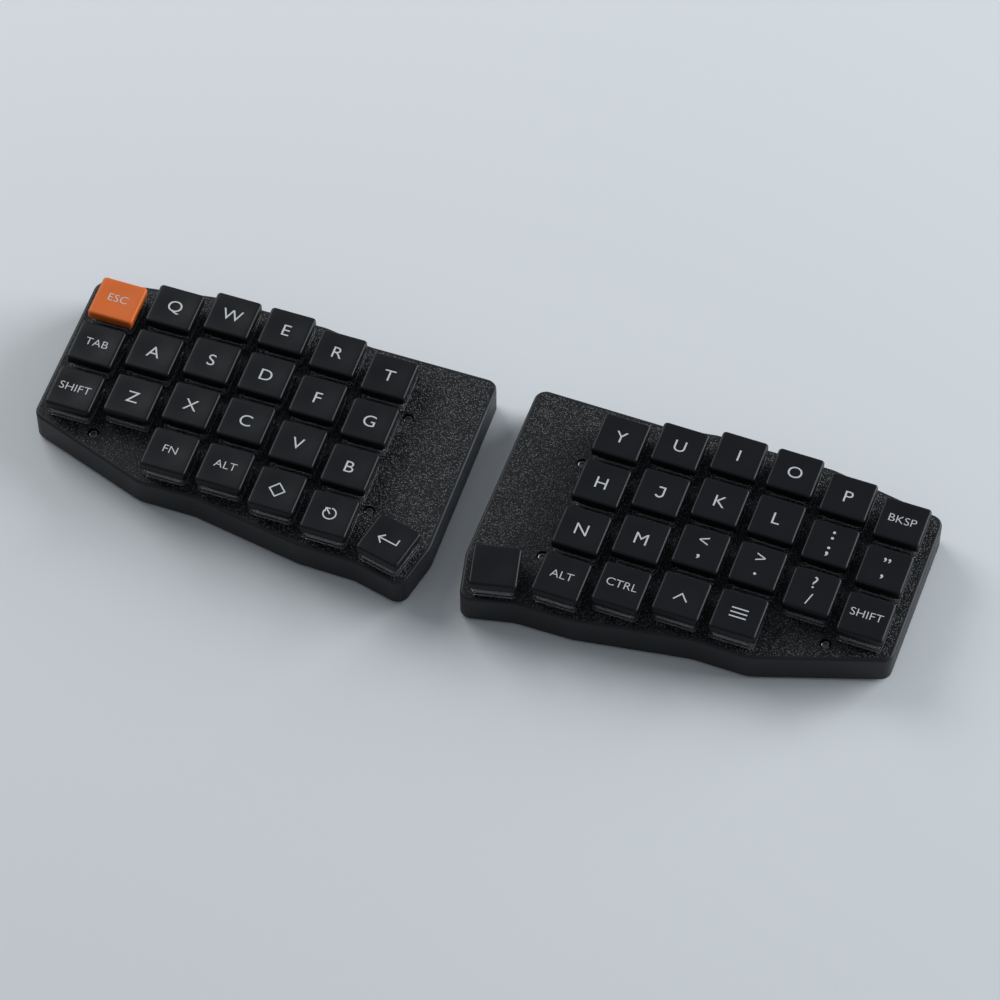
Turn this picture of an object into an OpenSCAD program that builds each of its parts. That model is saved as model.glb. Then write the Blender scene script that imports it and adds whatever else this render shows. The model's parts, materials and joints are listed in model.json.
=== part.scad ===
// Split keyboard: two mirror-image halves with low, column-staggered keys.
// The origin is on the desk under the middle of the pair. X runs to the right, Y away from the
// typist and Z up. A half is drawn once in its own plan, u inward from its outer column of keys
// and v to the rear, and is then set in its place, the right one as a mirror image.

/* [Halves] */
// Gap between the two halves on the desk, at the middle of their inner walls
half_gap = 11.8; // [8:0.1:200]
// How much further back the right half stands than the left one
right_set_back = 1.9; // [0:0.1:20]
// Turn of the right half on the desk, its outer end towards the typist
right_turn = 1.4; // [0:0.1:5]

/* [Layout] */
// Key spacing, across a row and down a column
pitch = 19.05; // [18:0.05:20]
// How far the little finger's column is set back from the outer column
little_stagger = 3.2; // [0:0.1:6]
// How far the ring finger's column is set back
ring_stagger = 6.3; // [3:0.1:9]
// How far the middle finger's column is set back
middle_stagger = 6.3; // [3:0.1:9]
// How far the index finger's column is set back
index_stagger = 3.2; // [0:0.1:6]
// How far the inner column is set back, forward of the outer column where it is negative
inner_stagger = 0; // [-3:0.1:3]
// How far the thumb key stands inward of the inner column
thumb_reach = 21.2; // [20:0.1:26]
// How far the thumb key stands forward of the inner column's last key
thumb_drop = 3.4; // [1:0.1:8]
// Turn of the thumb key
thumb_angle = 13; // [5:0.5:20]

/* [Case] */
// Height of the case wall, from its lower edge to the top
case_h = 11; // [10.5:0.1:18]
// Thickness of the side walls
wall_t = 2; // [1.8:0.1:2.6]
// Thickness of the top, which is also the switch plate
plate_t = 1.3; // [1.1:0.1:1.5]
// Thickness of the bottom cover
cover_t = 1.6; // [1.2:0.1:2]
// Wall left outside the bottom cover
lip_t = 1.2; // [0.8:0.1:1.4]
// Top left outside the switches on the outer side
outer_margin = 4.1; // [3:0.1:8]
// Top left behind the switches
rear_margin = 2.8; // [1.8:0.1:6]
// Top left behind the switch of the inner column
strip_rear_margin = 6.5; // [3:0.1:10]
// Top left in front of the switches
front_margin = 2.9; // [2:0.1:8]
// Top left in front of the thumb key's switch
thumb_margin = 1.8; // [1.7:0.1:6]
// Top left in front of the outer column's last switch
outer_front_margin = 1.3; // [1:0.1:5]
// Top left inward of the corner of the thumb key's switch
inner_margin = 3.2; // [2:0.1:8]
// Top left along the inner side of the thumb key's switch
thumb_side_margin = 3.1; // [2.6:0.1:4.2]
// Radius of the case's four main corners
corner_r = 4; // [3:0.1:5]
// Radius of the shallow bends along the front and rear
bend_r = 15; // [8:1:25]

/* [Switches] */
// Width of the switch body in the plate
body_w = 13.8; // [13.6:0.1:14]
// Clearance of the body in its opening, each side
body_gap = 0.05; // [0.03:0.01:0.1]
// Width of the clear rim that stands on the plate
rim_w = 15; // [14.8:0.1:15.4]
// Thickness of the rim
rim_t = 0.9; // [0.7:0.1:1.2]
// Height of the clear cover above the plate
clear_h = 2.8; // [2.6:0.1:3]
// Width of the clear cover's top
clear_top_w = 12.4; // [12:0.1:12.6]
// Wall of the clear cover
clear_t = 0.7; // [0.5:0.1:0.8]
// Depth of the body from the plate's top to the circuit board
body_drop = 2.2; // [2.15:0.05:2.6]
// Floor of the body
floor_t = 0.6; // [0.5:0.05:0.7]
// Width of the well in the body for the stem
well_w = 12.2; // [12:0.1:12.6]
// Depth, front to rear, of that well
well_d = 7; // [6.8:0.1:9]
// How far a key travels
travel = 3; // [2.5:0.1:3]
// Width of the stem's upper block
stem_w = 10; // [9.6:0.1:10.4]
// Depth, front to rear, of the stem's upper block
stem_d = 4.6; // [4.4:0.1:5]
// Width of the stem's shoulder, which the clear cover holds down
shoulder_w = 11.6; // [11:0.1:11.8]
// Depth, front to rear, of the shoulder
shoulder_d = 6.4; // [6:0.1:6.6]
// Thickness of the shoulder
shoulder_t = 0.55; // [0.4:0.05:0.6]
// Running clearance round the stem
stem_gap = 0.2; // [0.1:0.05:0.25]
// Outside diameter of the spring
spring_d = 3.3; // [3:0.1:3.4]
// Wall of the sleeve that stands for the coil
spring_t = 0.3; // [0.2:0.05:0.4]
// Square bore in the stem for the spring
spring_bore = 3.7; // [3.6:0.05:3.8]
// Diameter of the post under the body
post_d = 3.3; // [3:0.1:3.5]
// Length of the post below the body
post_l = 2.5; // [2:0.1:2.8]
// Length of the two contact pins below the body
pin_l = 3; // [2.4:0.1:3.2]

/* [Keycaps] */
// Width of the square cap at its skirt
cap_w = 15.6; // [15.4:0.1:17.4]
// How far each side leans in from the skirt to the top
cap_lean = 0.4; // [0.35:0.05:0.5]
// Thickness of the cap's top
cap_top_t = 1.2; // [0.8:0.1:1.6]
// Thickness of the cap's sides
cap_side_t = 0.7; // [0.5:0.05:0.75]
// Bevel round the cap's top
cap_bevel = 0.3; // [0.2:0.05:0.35]
// Clearance left over the rim when a key is down
skirt_gap = 0.2; // [0.1:0.05:0.4]
// Clearance left over the clear cover when a key is down
roof_gap = 0.3; // [0.2:0.05:0.5]
// Width of each of the cap's two prongs
prong_w = 1.2; // [1:0.05:1.3]
// Depth, front to rear, of a prong
prong_d = 3; // [2.6:0.1:3.2]
// Length of a prong
prong_l = 3.4; // [2.8:0.1:3.6]
// Distance between the prongs
prong_pitch = 5.7; // [5.6:0.05:5.9]
// Clearance round a prong in the stem
prong_gap = 0.05; // [0.03:0.01:0.08]

/* [Board and battery] */
// Thickness of the circuit board
board_t = 1.6; // [1.2:0.1:1.6]
// Clearance between the board and the walls
board_gap = 0.5; // [0.3:0.1:0.8]
// Width of the battery
battery_w = 12; // [8:0.5:13]
// Length of the battery
battery_l = 32; // [20:1:33]
// Thickness of the battery
battery_t = 4; // [2:0.1:4.2]
// Width of the controller
chip_w = 7; // [5:0.5:9]
// Width of the charging socket's shell
socket_w = 8.94; // [8.8:0.02:9]
// Height of the charging socket's shell
socket_h = 3.26; // [3.2:0.02:3.3]
// Depth of the charging socket
socket_l = 7.3; // [6.5:0.1:8]
// Sheet thickness of the socket's shell
socket_t = 0.3; // [0.2:0.05:0.35]
// Clearance round the socket in the rear wall
socket_gap = 0.25; // [0.1:0.05:0.4]

/* [Screws and feet] */
// Diameter of the screws' shanks
screw_d = 2; // [1.6:0.1:2.2]
// Length of the screws under the head
screw_l = 8; // [7:0.5:8.2]
// Diameter of the screw heads
head_d = 3.6; // [3.2:0.1:3.8]
// Height of the screw heads
head_h = 0.9; // [0.7:0.1:1]
// How deep the heads' seats are
seat_depth = 1.2; // [1:0.1:1.4]
// Clearance round the heads and shanks
screw_gap = 0.15; // [0.1:0.05:0.25]
// How far the screws stand clear of the switch rims
screw_margin = 2.3; // [1.9:0.05:2.6]
// Diameter of the screw bosses
boss_d = 5; // [4.6:0.1:5]
// Diameter of the rubber feet
foot_d = 9; // [6:0.5:12]
// How far the feet hold the case above the desk
foot_stand = 1.2; // [0.8:0.1:3]
// How deep the feet are let into the bottom cover
foot_seat = 0.3; // [0.2:0.05:0.5]
// How far the feet stand in from the case's edge
foot_inset = 9; // [8:0.5:14]

/* [Hidden] */
$fn = 48;
eps = 0.05;               // touching pieces stand this far apart, so that they stay separate solids
cut = 1;                  // how far a cut runs past the face that it opens
THUMB = 6;                // the thumb key's column in the key tables
INNER = 5;                // the inner column
LAST = 3;                 // the row in front of the letters
arc_steps = 6;            // straight pieces in a rounded corner
least_r = 0.5;            // a rounded corner that is moved in keeps at least this radius

// Small details of the switches.
clear_side_h = 0.6;       // the clear cover's upright sides above the rim
bore_roof = 1.5;          // stem left over the spring's bore
clip_w = 4;               // clips that hold the body under the plate
clip_out = 0.3;
clip_h = 0.5;
PINS = [[0, 5.9, 0], [5, 3.8, 0]];
pin_w = 0.9;
pin_t = 0.3;
pin_hole = 1.2;

// Small details of the board.
diode_v = -4.6;           // a diode's place in front of its switch's middle
diode_w = 2.7;
diode_d = 1.6;
diode_h = 1.1;
chip_t = 1;
socket_recess = 0.4;      // how far the socket's mouth stands in from the rear wall's face
socket_back = 1;
tongue_w = 6.7;
tongue_l = 5;
tongue_t = 0.7;

// Small details of the screws.
drive_w = 1.5;            // hexagon in the screw head, across its corners
hole_spare = 0.4;         // depth of the screw hole beyond the screw's end

// Keys of each half: name, column from the outer side, row from the rear.
LEFT_KEYS = [
  ["key_escape", 0, 0], ["key_tab", 0, 1], ["key_left_shift", 0, 2],
  ["key_q", 1, 0], ["key_a", 1, 1], ["key_z", 1, 2],
  ["key_w", 2, 0], ["key_s", 2, 1], ["key_x", 2, 2], ["key_function", 2, 3],
  ["key_e", 3, 0], ["key_d", 3, 1], ["key_c", 3, 2], ["key_left_alt", 3, 3],
  ["key_r", 4, 0], ["key_f", 4, 1], ["key_v", 4, 2], ["key_meta", 4, 3],
  ["key_t", 5, 0], ["key_g", 5, 1], ["key_b", 5, 2], ["key_layer", 5, 3],
  ["key_enter", THUMB, 0]
];
RIGHT_KEYS = [
  ["key_backspace", 0, 0], ["key_quote", 0, 1], ["key_right_shift", 0, 2],
  ["key_p", 1, 0], ["key_semicolon", 1, 1], ["key_slash", 1, 2],
  ["key_o", 2, 0], ["key_l", 2, 1], ["key_period", 2, 2], ["key_menu", 2, 3],
  ["key_i", 3, 0], ["key_k", 3, 1], ["key_comma", 3, 2], ["key_caret", 3, 3],
  ["key_u", 4, 0], ["key_j", 4, 1], ["key_m", 4, 2], ["key_control", 4, 3],
  ["key_y", 5, 0], ["key_h", 5, 1], ["key_n", 5, 2], ["key_right_alt", 5, 3],
  ["key_space", THUMB, 0]
];

// Key places in the plan of a half.
stagger = [0, little_stagger, ring_stagger, middle_stagger, index_stagger, inner_stagger];
function column_u(c) = c * pitch;
function row_v(c, r) = stagger[c] - r * pitch;
thumb_u = column_u(INNER) + thumb_reach;
thumb_v = row_v(INNER, LAST) - thumb_drop;
function key_u(k) = k[1] == THUMB ? thumb_u : column_u(k[1]);
function key_v(k) = k[1] == THUMB ? thumb_v : row_v(k[1], k[2]);
function key_turn(k) = k[1] == THUMB ? -thumb_angle : 0;

// Heights above the desk.
case_z = foot_stand;
plate_z = case_z + case_h;
cover_z = case_z + cover_t;
board_top = plate_z - body_drop;
board_z = board_top - board_t;

// Heights above the plate's top, at rest.
well_z = floor_t - body_drop;
clear_roof = clear_h - clear_t;
shoulder_top = clear_roof - eps;
shoulder_z = shoulder_top - shoulder_t;
stem_top = clear_h + travel + roof_gap;
bore_top = stem_top - bore_roof;
skirt_z = rim_t + travel + skirt_gap;
cap_top = stem_top + cap_top_t;

// The case's outline in plan: its corners run clockwise from the rear outer one.
rim_r = rim_w / 2;
turned_reach = rim_r * (cos(thumb_angle) + sin(thumb_angle));
inner_u = thumb_u + turned_reach + inner_margin;
outer_u = -rim_r - outer_margin;
rear_v = max(ring_stagger, middle_stagger) + rim_r + rear_margin;
strip_rear_v = inner_stagger + rim_r + strip_rear_margin;
function by_thumb(u, v) = [
  thumb_u + u * cos(thumb_angle) + v * sin(thumb_angle),
  thumb_v - u * sin(thumb_angle) + v * cos(thumb_angle)
];
thumb_side_r = rim_r + thumb_side_margin;
case_corners = [
  [outer_u, rim_r + rear_margin],
  [column_u(2) - rim_r - rear_margin, rear_v],
  [column_u(3) + rim_r + rear_margin, rear_v],
  [column_u(4) + rim_r, strip_rear_v],
  [inner_u, strip_rear_v],
  crossing([inner_u, 0], [0, 1], by_thumb(thumb_side_r, 0), [sin(thumb_angle), cos(thumb_angle)]),
  by_thumb(thumb_side_r, -rim_r - thumb_margin),
  by_thumb(-rim_r, -rim_r - thumb_margin),
  [column_u(INNER) - rim_r, row_v(INNER, LAST) - rim_r - front_margin],
  [column_u(3) - rim_r, row_v(3, LAST) - rim_r - front_margin],
  [column_u(2) - rim_r, row_v(2, LAST) - rim_r - front_margin],
  [outer_u, row_v(0, 2) - rim_r - outer_front_margin]
];
MAIN_CORNERS = [0, 4, 6, 11];
function corner_radius(i) = len(search(i, MAIN_CORNERS)) > 0 ? corner_r : bend_r;

function unit(v) = v / norm(v);
function right_of(d) = [d[1], -d[0]];
function at(list, i) = list[(i + len(list)) % len(list)];
// Where two lines cross, each given by a point and a direction.
function crossing(p, d, q, e) = p + d * cross(q - p, e) / cross(d, e);
// A clockwise outline's corners, moved in by a distance.
function inset(points, by) = [
  for (i = [0 : len(points) - 1])
    let (d = unit(points[i] - at(points, i - 1)), e = unit(at(points, i + 1) - points[i]))
      crossing(points[i] + right_of(d) * by, d, points[i] + right_of(e) * by, e)
];
// An outline with each corner replaced by an arc.
function rounded(points, radii) = [
  for (i = [0 : len(points) - 1])
    let (
      d = unit(points[i] - at(points, i - 1)),
      e = unit(at(points, i + 1) - points[i]),
      bend = atan2(cross(d, e), d * e),
      start = points[i] - d * radii[i] * tan(abs(bend) / 2),
      side = sign(bend),
      middle = start - right_of(d) * radii[i] * side
    )
      for (s = [0 : arc_steps])
        let (a = bend * s / arc_steps, out = (start - middle) / radii[i])
          middle + radii[i] * [out[0] * cos(a) - out[1] * sin(a), out[0] * sin(a) + out[1] * cos(a)]
];
function case_loop(by) = rounded(
  inset(case_corners, by),
  [for (i = [0 : len(case_corners) - 1]) max(corner_radius(i) - by, least_r)]
);

// The halves' places: the middles of the inner walls face each other across the gap, the right half
// is turned about its own, and the pair's middle in plan goes to the origin.
case_vs = [for (p = case_loop(0)) p[1]];
middle_v = (max(case_vs) + min(case_vs)) / 2;
function left_place(p) = [p[0] - inner_u - half_gap / 2, p[1] - middle_v];
function right_place(p) =
  let (x = inner_u - p[0], y = p[1] - middle_v, a = -right_turn)
    [half_gap / 2 + x * cos(a) - y * sin(a), right_set_back + x * sin(a) + y * cos(a)];
pair = concat([for (p = case_loop(0)) left_place(p)], [for (p = case_loop(0)) right_place(p)]);
function middle_of(i) = (max([for (p = pair) p[i]]) + min([for (p = pair) p[i]])) / 2;
pair_middle = [middle_of(0), middle_of(1)];
left_at = left_place([0, 0]) - pair_middle;
right_at = right_place([0, 0]) - pair_middle;

// Screws: two beside the inner column and one off the front corner of the outer column.
screw_off = rim_r + screw_margin;
SCREWS = [
  [column_u(INNER) + screw_off, row_v(INNER, 0.5)],
  [column_u(INNER) + screw_off, row_v(INNER, 2.5)],
  [screw_off, row_v(0, 2) - screw_off]
];
head_z = plate_z - seat_depth;
boss_hole_z = head_z - screw_l - hole_spare;

// Feet stand in from the four main corners.
FEET = [for (i = MAIN_CORNERS) inset(case_corners, foot_inset)[i]];

// What hangs under the board stands between the inner column's screws and the inner wall.
strip_u = (SCREWS[0][0] + boss_d / 2 + inner_u - wall_t) / 2;
battery_v = (SCREWS[0][1] + SCREWS[1][1]) / 2;
socket_face_v = strip_rear_v - socket_recess;
part_top = board_z - eps;
socket_z = part_top - socket_h / 2;
chip_v = (battery_v + battery_l / 2 + socket_face_v - socket_l) / 2;

// Hooks of the bottom cover: width, thickness, catch depth, and heights over the cover.
hook_w = 14;
hook_t = 1;
hook_catch = 0.6;
hook_gap = 0.15;
hook_low = 1;
hook_high = 2;
// Each hook's place on the inside of the wall, and the turn that brings +v to the wall.
HOOKS = [
  [(column_u(2) + column_u(3)) / 2, rear_v - wall_t, 0],
  [outer_u + wall_t, row_v(0, 1), 90]
];

// Set a half's drawing in its place.
module left_half() {
  translate(left_at) children();
}
module right_half() {
  translate(right_at) rotate(-right_turn) mirror([1, 0, 0]) children();
}
// Set a drawing on the plate's top at a key.
module at_key(k) {
  translate([key_u(k), key_v(k), plate_z]) rotate(key_turn(k)) children();
}
// A block centred in plan, from one height to another.
module block(w, d, low, high) {
  translate([-w / 2, -d / 2, low]) cube([w, d, high - low]);
}
// A slice of the case, moved in from its outline.
module slice(by, low, high) {
  translate([0, 0, low]) linear_extrude(high - low) polygon(case_loop(by));
}
// A solid whose front view and side view are both given: half-widths over heights.
module two_views(front, side, reach) {
  intersection() {
    rotate([90, 0, 0]) translate([0, 0, -reach]) linear_extrude(2 * reach) polygon(mirrored(front));
    rotate([90, 0, 90]) translate([0, 0, -reach]) linear_extrude(2 * reach) polygon(mirrored(side));
  }
}
function mirrored(view) = concat(
  view,
  [for (i = [len(view) - 1 : -1 : 0]) [-view[i][0], view[i][1]]]
);

// Case: top plate and walls in one moulding.
module top_case(keys) {
  color([0.05, 0.05, 0.06]) difference() {
    union() {
      difference() {
        slice(0, case_z, plate_z);
        slice(wall_t, case_z - cut, plate_z - plate_t);
      }
      for (s = SCREWS)
        translate([s[0], s[1], board_top + eps]) cylinder(d = boss_d, h = body_drop - plate_t);
    }
    slice(lip_t, case_z - cut, cover_z + 2 * eps);
    for (k = keys)
      at_key(k) block(body_w + 2 * body_gap, body_w + 2 * body_gap, -plate_t - cut, cut);
    for (s = SCREWS) translate([s[0], s[1], 0]) {
      translate([0, 0, head_z]) cylinder(d = head_d + 2 * screw_gap, h = seat_depth + cut);
      translate([0, 0, board_z]) cylinder(d = screw_d + 2 * screw_gap, h = plate_z - board_z);
    }
    translate([strip_u, strip_rear_v + cut, socket_z])
      rotate([90, 0, 0]) linear_extrude(wall_t + 2 * cut)
        stadium(socket_w + 2 * socket_gap, socket_h + 2 * socket_gap);
    for (h = HOOKS) translate([h[0], h[1], cover_z]) rotate(h[2])
      translate([-hook_w / 2 - hook_gap, -hook_gap, hook_low - hook_gap])
        cube([hook_w + 2 * hook_gap, hook_catch + 2 * hook_gap, hook_high - hook_low + 2 * hook_gap]);
  }
}
module stadium(w, h) {
  square([w - h, h], center = true);
  for (side = [-1, 1]) translate([side * (w - h) / 2, 0]) circle(d = h);
}

// Bottom cover: a flat plate with screw bosses, hooks and seats for the feet.
module bottom_cover() {
  color([0.07, 0.07, 0.08]) difference() {
    union() {
      slice(lip_t + 2 * eps, case_z, cover_z);
      for (s = SCREWS)
        translate([s[0], s[1], cover_z - eps]) cylinder(d = boss_d, h = board_z - cover_z);
      for (h = HOOKS) translate([h[0], h[1], cover_z - eps]) rotate(h[2]) {
        translate([-hook_w / 2, -hook_gap - hook_t, 0]) cube([hook_w, hook_t, hook_high + eps]);
        translate([-hook_w / 2, -hook_gap - hook_t, hook_low + eps])
          cube([hook_w, hook_t + hook_gap + hook_catch, hook_high - hook_low]);
      }
    }
    for (s = SCREWS)
      translate([s[0], s[1], boss_hole_z]) cylinder(d = screw_d + 2 * eps, h = board_z - boss_hole_z);
    for (f = FEET)
      translate([f[0], f[1], case_z - cut]) cylinder(d = foot_d + 4 * eps, h = foot_seat + cut);
  }
}

// Circuit board with its diodes, controller, charging socket and battery.
module circuit_board(keys) {
  color([0.04, 0.16, 0.09]) difference() {
    slice(wall_t + board_gap, board_z, board_top - eps);
    for (k = keys) at_key(k) translate([0, 0, -body_drop - board_t - cut]) {
      cylinder(d = post_d + 4 * eps, h = board_t + 2 * cut);
      for (p = PINS) translate(p) cylinder(d = pin_hole, h = board_t + 2 * cut);
    }
    for (s = SCREWS)
      translate([s[0], s[1], board_z - cut]) cylinder(d = screw_d + 2 * screw_gap, h = board_t + 2 * cut);
  }
  color([0.1, 0.1, 0.1]) {
    for (k = keys) at_key(k) translate([0, diode_v, -plate_z])
      block(diode_w, diode_d, part_top - diode_h, part_top);
    translate([strip_u, chip_v, 0]) block(chip_w, chip_w, part_top - chip_t, part_top);
    translate([strip_u, socket_face_v - socket_l + socket_back + eps, socket_z])
      translate([-tongue_w / 2, 0, -tongue_t / 2]) cube([tongue_w, tongue_l, tongue_t]);
  }
  color("silver") translate([strip_u, socket_face_v, socket_z]) rotate([90, 0, 0]) difference() {
    linear_extrude(socket_l) stadium(socket_w, socket_h);
    translate([0, 0, -cut]) linear_extrude(socket_l - socket_back + cut)
      stadium(socket_w - 2 * socket_t, socket_h - 2 * socket_t);
  }
  color([0.5, 0.55, 0.6]) translate([strip_u, battery_v, 0])
    block(battery_w, battery_l, part_top - eps - battery_t, part_top - eps);
}

// One switch: black body with post and pins below the plate, clear cover and rim above it.
module switch_body() {
  color([0.06, 0.06, 0.06]) difference() {
    union() {
      block(body_w, body_w, -body_drop, -eps);
      for (side = [-1, 1]) translate([0, side * body_w / 2, -plate_t - 2 * eps])
        block(clip_w, 2 * clip_out, -clip_h, 0);
      translate([0, 0, -body_drop - post_l]) cylinder(d = post_d, h = post_l + eps);
      for (p = PINS) translate(p) block(pin_w, pin_t, -body_drop - pin_l, -body_drop + eps);
    }
    block(well_w, well_d, well_z, cut);
  }
}
module switch_cover() {
  roof_r = clear_top_w / 2;
  body_r = body_w / 2;
  side_top = rim_t + clear_side_h;
  view = [[rim_r, 0], [rim_r, rim_t], [body_r, rim_t], [body_r, side_top], [roof_r, clear_h]];
  color([0.85, 0.88, 0.9, 0.5]) difference() {
    two_views(view, view, rim_w);
    block(well_w, well_w, -cut, clear_roof);
    block(stem_w + 2 * stem_gap, stem_d + 2 * stem_gap, 0, clear_h + cut);
  }
}
module key_switches(keys) {
  for (k = keys) at_key(k) {
    switch_body();
    switch_cover();
  }
}

// Springs: a sleeve stands for each coil, from the body's floor to the top of the stem's bore.
module switch_springs(keys) {
  color("silver") for (k = keys) at_key(k) translate([0, 0, well_z + eps]) difference() {
    cylinder(d = spring_d, h = bore_top - well_z - 2 * eps);
    translate([0, 0, -cut]) cylinder(d = spring_d - 2 * spring_t, h = bore_top - well_z + 2 * cut);
  }
}

// Screws, with a hexagon socket in each head.
module case_screws() {
  color([0.2, 0.2, 0.22]) for (s = SCREWS) translate([s[0], s[1], head_z]) difference() {
    union() {
      translate([0, 0, eps]) cylinder(d = head_d, h = head_h);
      translate([0, 0, -screw_l]) cylinder(d = screw_d, h = screw_l + head_h / 2);
    }
    translate([0, 0, head_h / 2]) cylinder(d = drive_w, h = head_h, $fn = 6);
  }
}

module rubber_feet() {
  color([0.1, 0.1, 0.1]) for (f = FEET)
    translate([f[0], f[1], 0]) cylinder(d = foot_d, h = foot_stand + foot_seat - eps);
}

// A key: the cap, with two prongs, and the stem that they are pressed into.
module cap(colour) {
  color(colour) union() {
    difference() {
      two_views(cap_view, cap_view, pitch);
      two_views(hollow_view, hollow_view, pitch);
    }
    for (p = [-1, 1]) translate([p * prong_pitch / 2, 0, 0])
      block(prong_w, prong_d, stem_top - prong_l, stem_top + cap_top_t / 2);
  }
}
cap_r = cap_w / 2;
top_r = cap_r - cap_lean;
cap_view = [
  [cap_r, skirt_z], [cap_r, skirt_z + cap_bevel],
  [top_r + cap_bevel, cap_top - cap_bevel], [top_r, cap_top]
];
// The hollow's sides follow the cap's, and it opens below the skirt.
lean_rate = cap_lean / (cap_top - skirt_z);
hollow_view = [
  [cap_r - cap_side_t + cut * lean_rate, skirt_z - cut],
  [cap_r - cap_side_t - (stem_top - skirt_z) * lean_rate, stem_top]
];
slot_z = stem_top - prong_l - 2 * eps;
module stem() {
  color([0.45, 0.06, 0.05]) difference() {
    union() {
      block(shoulder_w, shoulder_d, shoulder_z, shoulder_top);
      block(stem_w, stem_d, shoulder_z, stem_top - eps);
    }
    for (p = [-1, 1]) translate([p * prong_pitch / 2, 0, 0])
      block(prong_w + 2 * prong_gap, prong_d + 2 * prong_gap, slot_z, stem_top + cut);
    block(spring_bore, spring_bore, shoulder_z - cut, bore_top);
  }
}
module key(k) {
  colour = k[0] == "key_escape" ? [0.8, 0.34, 0.12] : [0.06, 0.06, 0.07];
  at_key(k) {
    cap(colour);
    stem();
  }
}

left_half() top_case(LEFT_KEYS);  // left_top_case
left_half() bottom_cover();  // left_bottom_cover
left_half() circuit_board(LEFT_KEYS);  // left_circuit_board
left_half() key_switches(LEFT_KEYS);  // left_key_switches
left_half() switch_springs(LEFT_KEYS);  // left_switch_springs
left_half() case_screws();  // left_case_screws
left_half() rubber_feet();  // left_rubber_feet
right_half() top_case(RIGHT_KEYS);  // right_top_case
right_half() bottom_cover();  // right_bottom_cover
right_half() circuit_board(RIGHT_KEYS);  // right_circuit_board
right_half() key_switches(RIGHT_KEYS);  // right_key_switches
right_half() switch_springs(RIGHT_KEYS);  // right_switch_springs
right_half() case_screws();  // right_case_screws
right_half() rubber_feet();  // right_rubber_feet
for (k = LEFT_KEYS) left_half() key(k);
for (k = RIGHT_KEYS) right_half() key(k);
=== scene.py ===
"""Looks of a split keyboard: two flat halves of low keys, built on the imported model."""
import json
import math

import bmesh
import bpy
from mathutils import Matrix, Vector

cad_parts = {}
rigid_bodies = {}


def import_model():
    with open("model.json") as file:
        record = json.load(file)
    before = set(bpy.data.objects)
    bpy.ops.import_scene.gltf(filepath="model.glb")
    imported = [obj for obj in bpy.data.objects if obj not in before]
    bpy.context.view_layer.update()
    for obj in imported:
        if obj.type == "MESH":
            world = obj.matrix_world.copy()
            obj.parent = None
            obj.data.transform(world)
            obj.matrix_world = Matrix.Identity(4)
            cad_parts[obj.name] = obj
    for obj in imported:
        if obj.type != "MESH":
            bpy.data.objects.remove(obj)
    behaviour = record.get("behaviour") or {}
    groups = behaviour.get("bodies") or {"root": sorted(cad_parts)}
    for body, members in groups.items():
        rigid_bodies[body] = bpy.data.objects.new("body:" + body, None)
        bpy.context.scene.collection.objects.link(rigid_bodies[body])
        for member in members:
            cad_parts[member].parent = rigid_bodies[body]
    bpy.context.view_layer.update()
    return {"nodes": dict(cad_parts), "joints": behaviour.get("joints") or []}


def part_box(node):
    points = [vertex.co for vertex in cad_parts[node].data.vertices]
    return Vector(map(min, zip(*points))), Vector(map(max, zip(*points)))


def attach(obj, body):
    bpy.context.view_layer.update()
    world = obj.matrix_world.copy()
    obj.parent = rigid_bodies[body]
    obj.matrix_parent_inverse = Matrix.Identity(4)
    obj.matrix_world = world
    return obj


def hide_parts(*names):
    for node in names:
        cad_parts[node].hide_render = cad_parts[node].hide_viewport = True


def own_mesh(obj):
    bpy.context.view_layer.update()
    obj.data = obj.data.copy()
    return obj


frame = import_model()

# Studio: a plain pale floor under a pale sky, a soft lamp behind at the left and a larger, cooler one low
# behind at the right, which draws the edges. The camera stands where the photograph was taken from.
MM = 0.001
EYE = Vector((270.08, -772.09, 1224.41)) * MM
AIM = Vector((10.36, -7.71, 19.5)) * MM
LENS_MM = 162.87
SENSOR_MM = 36
FLOOR_R = 4.0
FLOOR_SIDES = 64
FLOOR_GREY = (0.70, 0.71, 0.72)
FLOOR_DULL = 0.85
SKY_TINT = (0.84, 0.92, 1.0)
SKY_LEVEL = 0.30
scene = bpy.context.scene
scene.view_settings.view_transform = "Standard"


def aimed(name, data, place, target):
    holder = bpy.data.objects.new(name, data)
    holder.location = place
    holder.rotation_mode = "QUATERNION"
    holder.rotation_quaternion = (Vector(target) - Vector(place)).to_track_quat("-Z", "Y")
    scene.collection.objects.link(holder)
    return holder


def softbox(name, place, width, height, watts, tint):
    lamp = bpy.data.lights.new(name, "AREA")
    lamp.shape = "RECTANGLE"
    lamp.size = width
    lamp.size_y = height
    lamp.energy = watts
    lamp.color = tint
    aimed(name, lamp, place, (0, 0, 0))


camera = bpy.data.cameras.new("camera")
camera.lens = LENS_MM
camera.sensor_width = SENSOR_MM
scene.camera = aimed("camera", camera, EYE, AIM)
softbox("rear_softbox", place=(-1.06, 0.61, 0.86), width=0.9, height=0.7, watts=11, tint=(0.96, 0.98, 1.0))
softbox("right_softbox", place=(1.59, 1.08, 0.63), width=1.75, height=1.12, watts=52, tint=(0.90, 0.96, 1.0))

world = bpy.data.worlds.new("pale_sky")
world.use_nodes = True
sky = world.node_tree.nodes["Background"]
sky.inputs["Color"].default_value = (*SKY_TINT, 1)
sky.inputs["Strength"].default_value = SKY_LEVEL
scene.world = world


def add(name, mesh):
    piece = bpy.data.objects.new(name, mesh)
    scene.collection.objects.link(piece)
    return piece


def new_material(name):
    material = bpy.data.materials.new(name)
    material.use_nodes = True
    return material, material.node_tree, material.node_tree.nodes["Principled BSDF"]


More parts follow.
